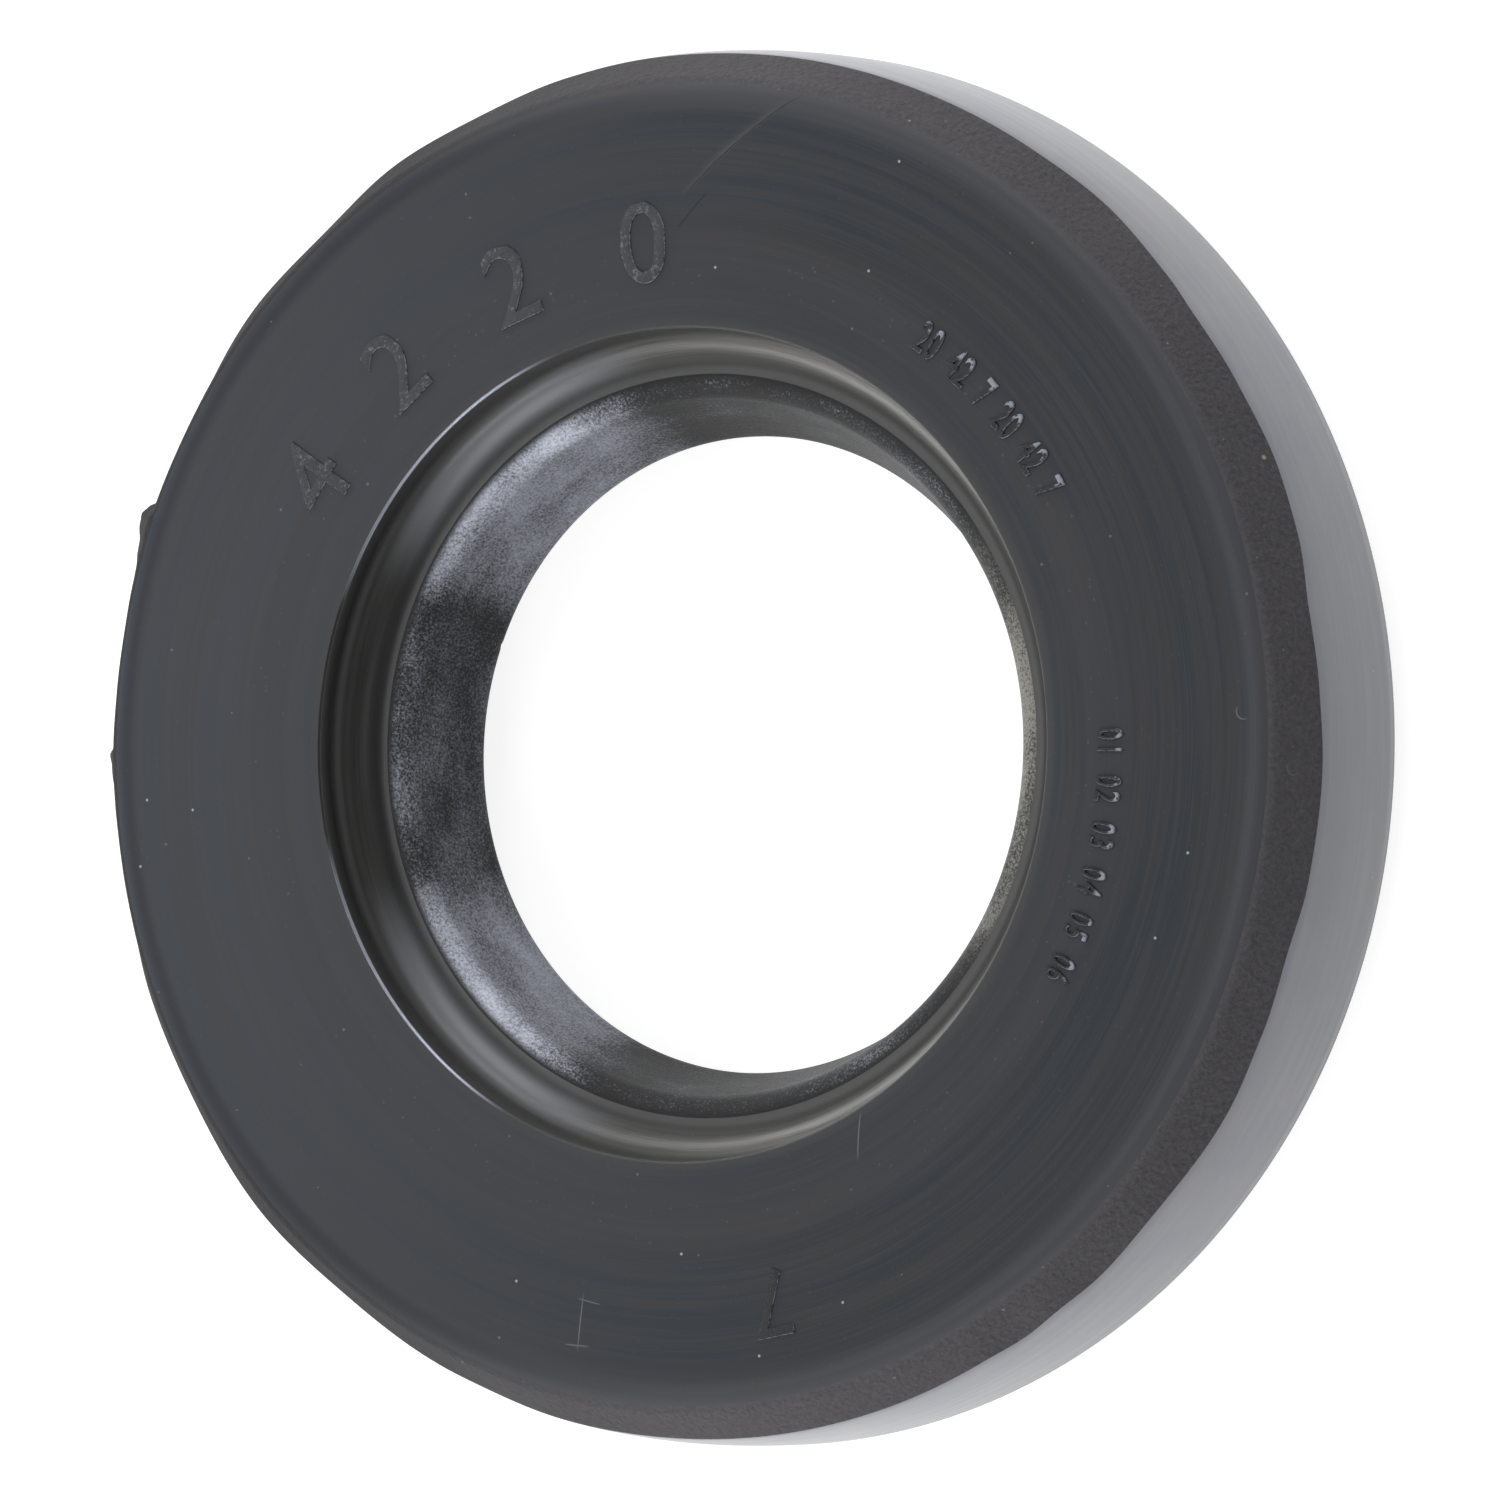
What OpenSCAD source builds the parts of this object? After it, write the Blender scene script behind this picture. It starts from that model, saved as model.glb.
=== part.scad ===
// Rotary shaft seal: a rubber ring moulded round a folded steel ring, with one
// spring-loaded lip. It lies on its back rim, the marked front face up.
// The origin is on the axis at the back rim, and +Z points to the front face.

/* [Fit sizes] */
// Bore of the housing that the seal is pressed into
housing_d = 42; // [38:0.5:60]
// Shaft that turns in the lip
shaft_d = 20; // [14:0.5:22]
// Width of the seal along the shaft
seal_w = 7; // [6.6:0.1:10]
// Oversize of the rubber against its housing, on the diameter
press_allowance = 0.2; // [0.05:0.05:0.5]
// Undersize of the free lip against its shaft, on the diameter
lip_squeeze = 0.72; // [0.3:0.02:1.2]

/* [Outer wall and front face] */
// Radial width of the front chamfer
front_chamfer_r = 1.25; // [0.6:0.05:1.5]
// Depth of the front chamfer along the axis
front_chamfer_w = 2; // [1:0.05:2.2]
// Radial width of the back chamfer
back_chamfer_r = 0.7; // [0.2:0.05:0.8]
// Height of the back chamfer along the axis
back_chamfer_w = 1.2; // [0.5:0.05:1.5]
// Radial gap between the shaft and the wall of the front opening
opening_gap = 2.5; // [2.2:0.05:3.2]
// Rounding of the front opening's edge
opening_edge_r = 0.12; // [0.05:0.01:0.3]

/* [Throat and lip] */
// Depth of the throat's floor below the front face
throat_depth = 1.85; // [1.5:0.05:2.3]
// Radius that hollows the throat from its wall to its floor
throat_r = 1.25; // [0.8:0.05:1.4]
// Depth of the sealing edge below the front face
lip_depth = 4.95; // [4.4:0.05:5.4]
// Width of the narrow land that runs on the shaft
lip_land_w = 0.16; // [0.1:0.02:0.3]
// Angle of the lip's back cone to the axis
oil_angle = 45; // [38:1:52]
// Length of the lip's nose behind the sealing edge
nose_w = 0.9; // [0.6:0.05:1.2]
// Thickness of the thin web that lets the lip bend
flex_t = 1; // [0.7:0.05:1.2]
// Rounding where the web leaves the floor of the back hollow
flex_fillet_r = 0.5; // [0.2:0.05:0.8]

/* [Spring and its groove] */
// Outer diameter of the spring's coils
coil_d = 1.6; // [1.2:0.05:1.8]
// Thickness of the spring wire
wire_d = 0.42; // [0.3:0.02:0.5]
// Gap between neighbouring turns at the inside of the ring
turn_gap = 0.08; // [0.04:0.01:0.2]
// Clearance between the spring and its groove, on the radius
groove_clearance = 0.03; // [0.02:0.01:0.08]
// Distance of the spring's middle ahead of the sealing edge
spring_lead = 0.45; // [0.2:0.05:0.7]
// Rubber between the groove and the lip's front cone
neck_t = 0.65; // [0.5:0.05:1]
// Half of the angle that the groove's mouth leaves open
mouth_half_angle = 65; // [55:1:75]
// Radial height of the beads that hold the spring in
bead_h = 0.28; // [0.15:0.01:0.4]

/* [Stiffening ring] */
// Thickness of the sheet steel
sheet_t = 0.8; // [0.6:0.05:1]
// Inner radius of the fold
fold_r = 0.5; // [0.3:0.05:0.8]
// Rubber on the outside of the ring
wall_rubber = 1; // [0.8:0.05:1.4]
// Rubber in front of the ring
face_rubber = 1.2; // [1:0.05:1.4]
// Rubber below the ring's back end
rim_rubber = 0.9; // [0.6:0.05:1.2]
// Rubber between the opening's wall and the ring's inner edge
edge_rubber = 1.1; // [0.8:0.05:1.5]
// Thickness of the rubber that laps behind the ring
lap_t = 0.35; // [0.25:0.05:0.5]
// Radial width of that lap
lap_w = 1.2; // [0.8:0.1:2]

/* [Hidden] */

// Facets of the turned shapes, and steps of the rounded corners
turn_fn = 180;
corner_steps = 4;
bow_steps = 12;

// Spring mesh: points in each turn, and sides of the wire
turn_points = 8;
wire_sides = 4;

body_r = (housing_d + press_allowance) / 2;
lip_r = (shaft_d - lip_squeeze) / 2;
opening_r = shaft_d / 2 + opening_gap;
floor_r = opening_r - throat_r;
face_flat_r = body_r - front_chamfer_r;
rim_r = body_r - back_chamfer_r;

throat_z = seal_w - throat_depth;
lip_z = seal_w - lip_depth;
land_top_z = lip_z + lip_land_w / 2;
land_low_z = lip_z - lip_land_w / 2;

// The front cone runs from the throat's floor to the land. The web and the
// spring groove are measured square to it.
cone_angle = atan((floor_r - lip_r) / (throat_z - land_top_z));
nose_z = lip_z - nose_w;
nose_r = lip_r + (land_low_z - nose_z) * tan(oil_angle);

coil_r = (coil_d - wire_d) / 2;
groove_r = coil_d / 2 + groove_clearance;
spring_z = lip_z + spring_lead;
spring_r = cone_r(spring_z) + (groove_r + neck_t) / cos(cone_angle);
mouth_r = spring_r + groove_r * cos(mouth_half_angle);
mouth_half_w = groove_r * sin(mouth_half_angle);
bead_r = mouth_r + bead_h;

ring_out_r = body_r - wall_rubber;
ring_in_r = ring_out_r - sheet_t;
ring_hole_r = opening_r + edge_rubber;
ring_front_z = seal_w - face_rubber;
ring_back_z = ring_front_z - sheet_t;
outer_fold_r = fold_r + sheet_t;
lap_r = ring_hole_r + lap_w;
lap_z = ring_back_z - lap_t;

// Radius of the lip's front cone at a height
function cone_r(z) = lip_r + (z - land_top_z) * tan(cone_angle);

// Points on an arc about a centre, from one angle to another
function arc(centre, r, from, to, steps) = [
    for (i = [0:steps])
        let (a = from + (to - from) * i / steps)
            centre + r * [cos(a), sin(a)]
];

// Outline of the lip: front cone, land, back cone, nose, beads and groove.
// It starts at the throat's floor and ends where the web meets the lap.
web_r = cone_r(lap_z) + flex_t / cos(cone_angle);
web_low_z = spring_z + mouth_half_w + 2 * bead_h;
web_low_r = cone_r(web_low_z) + flex_t / cos(cone_angle);
fillet_turn = 90 - cone_angle;
fillet_run = flex_fillet_r * tan(fillet_turn / 2);
fillet_centre = [
    web_r + fillet_run,
    lap_z - flex_fillet_r
];
lip_outline = concat(
    [[floor_r, throat_z], [lip_r, land_top_z], [lip_r, land_low_z], [nose_r, nose_z]],
    arc([bead_r - bead_h, nose_z + bead_h], bead_h, -90, 0, corner_steps),
    [[bead_r, spring_z - mouth_half_w - bead_h / 2]],
    arc([spring_r, spring_z], groove_r, -mouth_half_angle, mouth_half_angle - 360, 2 * bow_steps),
    [[bead_r, spring_z + mouth_half_w + bead_h / 2], [bead_r, web_low_z - bead_h / 2]],
    [[web_low_r, web_low_z]],
    arc(fillet_centre, flex_fillet_r, 180 - cone_angle, 90, corner_steps)
);

// Outline of the rest: lap, contact with the ring, rim, outer wall, front face
// and throat
shell_outline = concat(
    [[lap_r, lap_z], [lap_r, ring_back_z], [ring_hole_r, ring_back_z], [ring_hole_r, ring_front_z]],
    arc([ring_out_r - outer_fold_r, ring_front_z - outer_fold_r], outer_fold_r, 90, 0, bow_steps),
    [[ring_out_r, rim_rubber], [ring_in_r, rim_rubber], [ring_in_r, 0], [rim_r, 0]],
    [[body_r, back_chamfer_w], [body_r, seal_w - front_chamfer_w], [face_flat_r, seal_w]],
    arc([opening_r + opening_edge_r, seal_w - opening_edge_r], opening_edge_r, 90, 180, corner_steps),
    arc([floor_r, throat_z + throat_r], throat_r, 0, -90, bow_steps)
);

// The two outlines share the point where the throat's floor ends
function without_last(list) = [for (i = [0:len(list) - 2]) list[i]];

// Moulded rubber: outer wall, front face, throat, web and lip in one piece
module seal_body() {
    color([0.22, 0.23, 0.25])
        rotate_extrude($fn = turn_fn)
            polygon(concat(lip_outline, without_last(shell_outline)));
}

// Sheet steel pressed to an angle section and bonded into the rubber. Its inner
// faces stay bare in the back hollow.
module stiffening_ring() {
    fold_centre = [ring_out_r - outer_fold_r, ring_front_z - outer_fold_r];
    color([0.62, 0.63, 0.65])
        rotate_extrude($fn = turn_fn)
            polygon(concat(
                [[ring_in_r, rim_rubber], [ring_out_r, rim_rubber]],
                arc(fold_centre, outer_fold_r, 0, 90, bow_steps),
                [[ring_hole_r, ring_front_z], [ring_hole_r, ring_back_z]],
                arc(fold_centre, fold_r, 90, 0, bow_steps)
            ));
}

// Closed coil spring that lies in the groove. The turns are counted so that
// they just clear each other on the inside of the ring.
turns = floor(360 / (2 * asin((wire_d + turn_gap) / 2 / (spring_r - coil_r))));
ring_count = turns * turn_points;

// Centre of the wire at a step of its path round the ring
function wire_centre(step) =
    let (round_a = 360 * step / ring_count, coil_a = 360 * step / turn_points,
         r = spring_r + coil_r * cos(coil_a))
        [r * cos(round_a), r * sin(round_a), spring_z + coil_r * sin(coil_a)];

// Corner of the wire's section at a step. One side of the section points away
// from the middle of the coil, the other along the ring.
function wire_corner(step, side) =
    let (round_a = 360 * step / ring_count, coil_a = 360 * step / turn_points,
         side_a = 360 * side / wire_sides,
         away = [cos(coil_a) * cos(round_a), cos(coil_a) * sin(round_a), sin(coil_a)],
         along = [-sin(round_a), cos(round_a), 0])
        wire_centre(step) + wire_d / 2 * (cos(side_a) * away + sin(side_a) * along);

module garter_spring() {
    corners = [for (step = [0:ring_count - 1], side = [0:wire_sides - 1]) wire_corner(step, side)];
    quads = [
        for (step = [0:ring_count - 1], side = [0:wire_sides - 1])
            let (next = (step + 1) % ring_count, over = (side + 1) % wire_sides)
                [step * wire_sides + side, next * wire_sides + side,
                 next * wire_sides + over, step * wire_sides + over]
    ];
    triangles = [for (q = quads) each [[q[0], q[1], q[2]], [q[0], q[2], q[3]]]];
    color([0.7, 0.7, 0.68])
        polyhedron(points = corners, faces = triangles);
}

seal_body();
stiffening_ring();
garter_spring();
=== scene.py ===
# A rotary shaft seal: a folded steel ring with rubber moulded round it, one sealing
# lip and the garter spring that loads the lip. It lies on its back rim.
import bmesh
import bpy
import math
from mathutils import Matrix, Vector, noise as wear


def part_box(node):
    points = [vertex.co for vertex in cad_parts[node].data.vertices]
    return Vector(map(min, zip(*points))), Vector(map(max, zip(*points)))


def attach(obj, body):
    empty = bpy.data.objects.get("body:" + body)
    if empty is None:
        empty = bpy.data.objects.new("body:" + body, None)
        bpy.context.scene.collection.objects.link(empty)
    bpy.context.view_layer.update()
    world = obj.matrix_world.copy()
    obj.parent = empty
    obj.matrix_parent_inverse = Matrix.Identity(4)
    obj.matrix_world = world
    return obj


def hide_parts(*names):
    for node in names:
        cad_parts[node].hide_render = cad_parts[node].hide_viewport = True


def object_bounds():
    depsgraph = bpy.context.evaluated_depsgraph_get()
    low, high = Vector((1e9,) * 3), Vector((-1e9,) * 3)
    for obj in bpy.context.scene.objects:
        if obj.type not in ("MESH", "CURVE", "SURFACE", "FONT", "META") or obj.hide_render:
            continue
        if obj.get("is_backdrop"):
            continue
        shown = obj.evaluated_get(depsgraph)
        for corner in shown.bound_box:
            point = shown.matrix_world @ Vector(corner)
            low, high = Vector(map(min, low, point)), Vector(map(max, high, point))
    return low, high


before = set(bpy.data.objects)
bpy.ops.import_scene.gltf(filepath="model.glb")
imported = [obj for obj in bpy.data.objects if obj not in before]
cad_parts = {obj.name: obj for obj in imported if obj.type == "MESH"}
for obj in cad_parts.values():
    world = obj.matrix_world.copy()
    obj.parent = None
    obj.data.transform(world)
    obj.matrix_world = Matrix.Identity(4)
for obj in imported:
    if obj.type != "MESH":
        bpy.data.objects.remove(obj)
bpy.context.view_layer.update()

MM = 0.001


# Stiffening ring
# Sheet steel, pressed to an angle: a wall inside the outer rubber and a flange under
# the front face. The rubber is bonded to it in the mould, and its inner faces stay
# bare in the back hollow, dull from the bonding coat and stained with rubber film.

ring_low, ring_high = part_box("stiffening_ring")
sheet_t = 0.8 * MM
ring_hole_r = 13.6 * MM
fold_inner_r = 0.5 * MM
fold_steps = 8
ring_turn_steps = 360
sheet_middle_r = ring_high.x - sheet_t / 2
sheet_middle_z = ring_high.z - sheet_t / 2


def node(tree, kind, inputs=None, **settings):
    """Adds a node. An input that is a socket is linked, and any other is a value."""
    made = tree.nodes.new(kind)
    for name, value in settings.items():
        setattr(made, name, value)
    for key, value in (inputs or {}).items():
        if isinstance(value, bpy.types.NodeSocket):
            tree.links.new(value, made.inputs[key])
        else:
            made.inputs[key].default_value = value
    return made


def new_tree(name, kind, inputs, outputs):
    """A node group with named inputs (name, type, default) and outputs (name, type)."""
    tree = bpy.data.node_groups.new(name, kind)
    for title, socket_type, default in inputs:
        socket = tree.interface.new_socket(title, in_out="INPUT", socket_type=socket_type)
        if default is not None:
            socket.default_value = default
    for title, socket_type in outputs:
        tree.interface.new_socket(title, in_out="OUTPUT", socket_type=socket_type)
    return tree, tree.nodes.new("NodeGroupInput").outputs, tree.nodes.new("NodeGroupOutput").inputs


def math_node(tree, operation, *values):
    """One Math node and its result."""
    return node(tree, "ShaderNodeMath", dict(enumerate(values)), operation=operation).outputs[0]


def times(tree, *values):
    """The product of two or more values."""
    product = values[0]
    for value in values[1:]:
        product = math_node(tree, "MULTIPLY", product, value)
    return product


def ranged(tree, value, low, high, to_low=0.0, to_high=1.0, smooth=True):
    """A value brought from one range to another and held at its ends."""
    kind = "SMOOTHSTEP" if smooth else "LINEAR"
    sockets = {"Value": value, "From Min": low, "From Max": high, "To Min": to_low, "To Max": to_high}
    return node(tree, "ShaderNodeMapRange", sockets, interpolation_type=kind).outputs["Result"]


def blended(tree, share, first, second):
    """One colour passing into another."""
    sockets = {0: share, 6: first, 7: second}
    return node(tree, "ShaderNodeMix", sockets, data_type="RGBA").outputs[2]


def new_finish(name):
    """A material, its tree, its shader and the place on the piece in millimetres."""
    material = bpy.data.materials.new(name)
    material.use_nodes = True
    tree = material.node_tree
    shader = tree.nodes["Principled BSDF"]
    place = node(tree, "ShaderNodeTexCoord").outputs["Object"]
    scaled = node(tree, "ShaderNodeVectorMath", {0: place, "Scale": 1 / MM}, operation="SCALE")
    return material, tree, shader, scaled.outputs[0]


def connect(tree, shader, **sockets):
    """Links values to the shader's sockets, where Base_Color stands for Base Color."""
    for name, value in sockets.items():
        tree.links.new(value, shader.inputs[name.replace("_", " ")])


def set_gloss(shader, specular, coat=0.0, coat_roughness=0.03):
    """Sets the gloss that is the same all over a finish, on the shader's own sockets."""
    shader.inputs["Specular IOR Level"].default_value = specular
    shader.inputs["Coat Weight"].default_value = coat
    shader.inputs["Coat Roughness"].default_value = coat_roughness


def relief(tree, height, depth):
    """A normal from a height between 0 and 1 that stands for a depth in metres."""
    sockets = {"Height": height, "Distance": depth, "Strength": 1.0}
    return node(tree, "ShaderNodeBump", sockets).outputs["Normal"]


def placed(tree, group, **values):
    """One use of a node group, with its own values."""
    sockets = {name.replace("_", " "): value for name, value in values.items()}
    return node(tree, "ShaderNodeGroup", sockets, node_tree=group).outputs


# How far a point lies from the axis, and its place wound out round the axis, so that
# turned marks run round the part and have no seam
turned_place, got, give = new_tree(
    "turned place",
    "ShaderNodeTree",
    [("Place", "NodeSocketVector", None), ("Round", "NodeSocketFloat", 1.0),
     ("Outwards", "NodeSocketFloat", 1.0), ("Upwards", "NodeSocketFloat", 1.0)],
    [("Radius", "NodeSocketFloat"), ("Height", "NodeSocketFloat"), ("Facing", "NodeSocketVector"),
     ("Wound", "NodeSocketVector")],
)
parts = node(turned_place, "ShaderNodeSeparateXYZ", {0: got["Place"]}).outputs
flat_place = node(turned_place, "ShaderNodeCombineXYZ", {0: parts[0], 1: parts[1]}).outputs[0]
radius = node(turned_place, "ShaderNodeVectorMath", {0: flat_place}, operation="LENGTH").outputs["Value"]
facing = node(turned_place, "ShaderNodeVectorMath", {0: flat_place}, operation="NORMALIZE").outputs[0]
turned = node(turned_place, "ShaderNodeSeparateXYZ", {0: facing}).outputs
across = times(turned_place, turned[0], got["Round"])
along = times(turned_place, turned[1], got["Round"])
rise = times(turned_place, parts[2], got["Upwards"])
reach = math_node(turned_place, "MULTIPLY_ADD", radius, got["Outwards"], rise)
wound = node(turned_place, "ShaderNodeCombineXYZ", {0: across, 1: along, 2: reach}).outputs[0]
turned_place.links.new(radius, give["Radius"])
turned_place.links.new(parts[2], give["Height"])
turned_place.links.new(facing, give["Facing"])
turned_place.links.new(wound, give["Wound"])


def along_angle(tree, facing, angle):
    """Cosine of the turn between a point's side of the axis and an angle in degrees."""
    turn = math.radians(angle)
    sockets = {0: facing, 1: (math.cos(turn), math.sin(turn), 0)}
    return node(tree, "ShaderNodeVectorMath", sockets, operation="DOT_PRODUCT").outputs["Value"]


def to_the_right(tree, facing):
    """How far a point lies towards +X of the axis, from -1 to 1."""
    return node(tree, "ShaderNodeSeparateXYZ", {0: facing}).outputs[0]


def turned_marks(tree, place, around, outwards, upwards=0.0):
    """Radius, height and wound place, with the fineness of a pattern each way."""
    return placed(tree, turned_place, Place=place, Round=around, Outwards=outwards, Upwards=upwards)


def noise(tree, vector, scale, detail=2.0, roughness=0.5):
    """Smooth random values between 0 and 1."""
    sockets = {"Vector": vector, "Scale": scale, "Detail": detail, "Roughness": roughness}
    return node(tree, "ShaderNodeTexNoise", sockets).outputs[0]


# Dull steel with fine drawing lines round it and a brownish rubber film in patches
steel_finish, tree, shader, place = new_finish("bonded_sheet_steel")
drawn = turned_marks(tree, place, 5.0, 9.0, 9.0)
lines = noise(tree, drawn["Wound"], 1.6, 3.0)
film_and_sheen = ranged(tree, noise(tree, place, 0.55, 5.0, 0.6), 0.5, 0.64)
steel_tone = blended(tree, lines, (0.30, 0.31, 0.32, 1), (0.46, 0.47, 0.48, 1))
connect(
    tree, shader,
    Base_Color=blended(tree, film_and_sheen, steel_tone, (0.075, 0.068, 0.060, 1)),
    Metallic=ranged(tree, film_and_sheen, 0.0, 1.0, 1.0, 0.25),
    Roughness=ranged(tree, lines, 0.2, 0.8, 0.36, 0.52),
    Normal=relief(tree, lines, 0.006 * MM),
)

# A line through the middle of the sheet, spun round the axis
spun_sheet, got, give = new_tree(
    "spun sheet",
    "GeometryNodeTree",
    [("Geometry", "NodeSocketGeometry", None), ("Spin Radius", "NodeSocketFloat", 0.01),
     ("Spin Steps", "NodeSocketInt", 180), ("Fold Radius", "NodeSocketFloat", 0.001),
     ("Fold Steps", "NodeSocketInt", 8), ("Finish", "NodeSocketMaterial", None)],
    [("Geometry", "NodeSocketGeometry")],
)
line = node(spun_sheet, "GeometryNodeMeshToCurve", {"Mesh": got["Geometry"]}).outputs[0]
folded = node(
    spun_sheet, "GeometryNodeFilletCurve",
    {"Curve": line, "Radius": got["Fold Radius"], "Count": got["Fold Steps"], "Limit Radius": True},
    mode="POLY",
).outputs[0]
path = node(
    spun_sheet, "GeometryNodeCurvePrimitiveCircle",
    {"Resolution": got["Spin Steps"], "Radius": got["Spin Radius"]},
).outputs[0]
swept = node(spun_sheet, "GeometryNodeCurveToMesh", {"Curve": path, "Profile Curve": folded}).outputs[0]
real = node(spun_sheet, "GeometryNodeRealizeInstances", {0: swept}).outputs[0]
finished = node(spun_sheet, "GeometryNodeSetMaterial", {"Geometry": real, "Material": got["Finish"]})
spun_sheet.links.new(finished.outputs[0], give["Geometry"])


def grow(piece, tree, **values):
    """Gives a piece a node tree and sets the tree's inputs by their identifiers."""
    modifier = piece.modifiers.new(tree.name, "NODES")
    modifier.node_group = tree
    for item in tree.interface.items_tree:
        name = item.name.replace(" ", "_")
        if item.in_out == "INPUT" and name in values:
            modifier[item.identifier] = values[name]
    return modifier


def settle(piece):
    """Puts what the modifiers make into the piece's own plain mesh."""
    bpy.context.view_layer.update()
    graph = bpy.context.evaluated_depsgraph_get()
    mesh = bpy.data.meshes.new_from_object(piece.evaluated_get(graph))
    piece.modifiers.clear()
    piece.data = mesh
    return piece


def new_piece(name, points=(), edges=(), faces=()):
    """An object at the origin with its place in its mesh."""
    mesh = bpy.data.meshes.new(name)
    mesh.from_pydata(points, edges, faces)
    piece = bpy.data.objects.new(name, mesh)
    bpy.context.collection.objects.link(piece)
    return piece


def face_outwards(piece):
    """Merges double points, drops flat spikes and turns every face outwards."""
    shell = bmesh.new()
    shell.from_mesh(piece.data)
    bmesh.ops.remove_doubles(shell, verts=shell.verts, dist=0.002 * MM)
    spikes = [corner for corner in shell.verts if len(corner.link_edges) == 2]
    bmesh.ops.dissolve_verts(shell, verts=spikes)
    bmesh.ops.recalc_face_normals(shell, faces=shell.faces)
    shell.to_mesh(piece.data)
    shell.free()


# The line's x runs outwards from the spin path and its y down the axis
sheet_line = [
    (ring_hole_r - sheet_middle_r, -sheet_middle_z, 0),
    (0, -sheet_middle_z, 0),
    (0, -ring_low.z, 0),
]
ring = new_piece("steel_ring", sheet_line, [(0, 1), (1, 2)])
grow(
    ring, spun_sheet,
    Spin_Radius=sheet_middle_r,
    Spin_Steps=ring_turn_steps,
    Fold_Radius=fold_inner_r + sheet_t / 2,
    Fold_Steps=fold_steps,
    Finish=steel_finish,
)
thickness = ring.modifiers.new("sheet thickness", "SOLIDIFY")
thickness.thickness = sheet_t
thickness.offset = 0
settle(ring)
face_outwards(ring)
ring.data.set_sharp_from_angle(angle=math.radians(35))
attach(ring, "root")
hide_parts("stiffening_ring")


# Seal body
# Black nitrile rubber moulded in one shot round the steel ring: outer wall, front
# face, throat, thin web and sealing lip. Flash on the front corner was trimmed off
# with a knife, in short cuts that left a wavy edge and two rags of flash.

body_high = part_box("seal_body")[1]
outer_r = body_high.x / MM
front_z = body_high.z / MM
opening_r = 12.5
opening_edge_r = 0.07
throat_r = 1.25
throat_z = 5.15
shoulder_start_r = 11.2
shoulder_r = 0.75
lip_r = 9.64
lip_z = 2.05
lip_land_w = 0.16
nose_r = 10.46
nose_z = 1.15
bead_r = 12.15
bead_h = 0.28
spring_r = 11.515
spring_z = 2.5
groove_r = 0.83
mouth_half_angle = 65
web_t = 1.0
web_fillet_r = 0.5
lap_r = 14.8
lap_z = 4.65
sheet_low_z = 5.0
fold_outer_r = (fold_inner_r + sheet_t) / MM
ring_inner_r = 19.3
back_chamfer_r = 0.7
back_chamfer_w = 1.2
corner_round_r = 0.8
corner_slope = math.radians(59)
corner_inner_r = 19.85
trimmed_r = 20.83
trimmed_depth = 1.6

# Knife cuts round the front corner: (degrees from +X, depth of the cut edge below the
# face). The edge runs smoothly from each to the next, apart from the steps of flash.
knife_cuts = [
    (0, 1.65), (7, 1.5), (13, 1.4), (20, 1.75), (26, 1.85), (33, 1.65), (40, 1.5), (44, 1.65),
    (53, 1.95), (61, 1.65), (75, 1.5), (86, 1.6), (99, 1.5), (106, 1.65), (115, 1.9), (124, 1.6),
    (133, 1.95), (143, 1.6), (154, 1.87), (161.3, 1.7), (161.6, 1.3), (162.3, 1.03), (163, 1.1),
    (165, 1.4), (168, 1.7), (172.5, 1.95), (177.5, 1.86), (182.4, 1.6), (183, 1.38), (184, 1.48),
    (187, 1.64), (191, 1.78), (196, 1.72), (204, 1.52), (212, 1.56), (225, 1.32), (237, 1.76),
    (247, 1.63), (251, 1.7), (261, 1.35), (275, 1.5), (290, 1.35), (301, 1.24), (305, 1.48),
    (309, 1.3), (313, 1.5), (320, 1.3), (331, 1.66), (338, 1.46), (345, 1.28), (351, 1.55), (360, 1.65),
]
flash_stretches = [(160.5, 165), (181.5, 185)]

# Small tears in the sealing edge: (degrees, half width in degrees, depth)
lip_tears = [(-12.75, 0.5, 0.07), (-21.75, 0.9, 0.09), (14, 0.4, 0.03), (162, 0.5, 0.03)]

# The free lip hangs a little off the middle. The lean fades out across the web.
lip_lean = 0.2
lean_end_r = 15.0
lean_fade = 2.0


def cut_depth(angle):
    """Depth of the trimmed edge below the face, eased between the knife cuts."""
    for (start, depth), (end, next_depth) in zip(knife_cuts, knife_cuts[1:]):
        if start <= angle <= end:
            share = (angle - start) / (end - start)
            return depth + (next_depth - depth) * (1 - math.cos(math.pi * share)) / 2
    return trimmed_depth


def straight(start, end, steps):
    """Points from one to another, without the last."""
    return [
        (start[0] + (end[0] - start[0]) * i / steps, start[1] + (end[1] - start[1]) * i / steps)
        for i in range(steps)
    ]


def arc(centre, size, start, end, steps):
    """Points on an arc between two angles in degrees, with both ends."""
    angles = [math.radians(start + (end - start) * i / steps) for i in range(steps + 1)]
    return [(centre[0] + size * math.cos(a), centre[1] + size * math.sin(a)) for a in angles]


def joined(corners, longest=0.3):
    """Corners joined by straight lines, cut into steps of a largest length."""
    points = []
    for start, end in zip(corners, corners[1:]):
        points += straight(start, end, max(1, math.ceil(math.dist(start, end) / longest)))
    return points


def cone_r(z):
    """Radius of the lip's front cone at a height."""
    land_z = lip_z + lip_land_w / 2
    return lip_r + (z - land_z) * (opening_r - throat_r - lip_r) / (throat_z - land_z)


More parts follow.
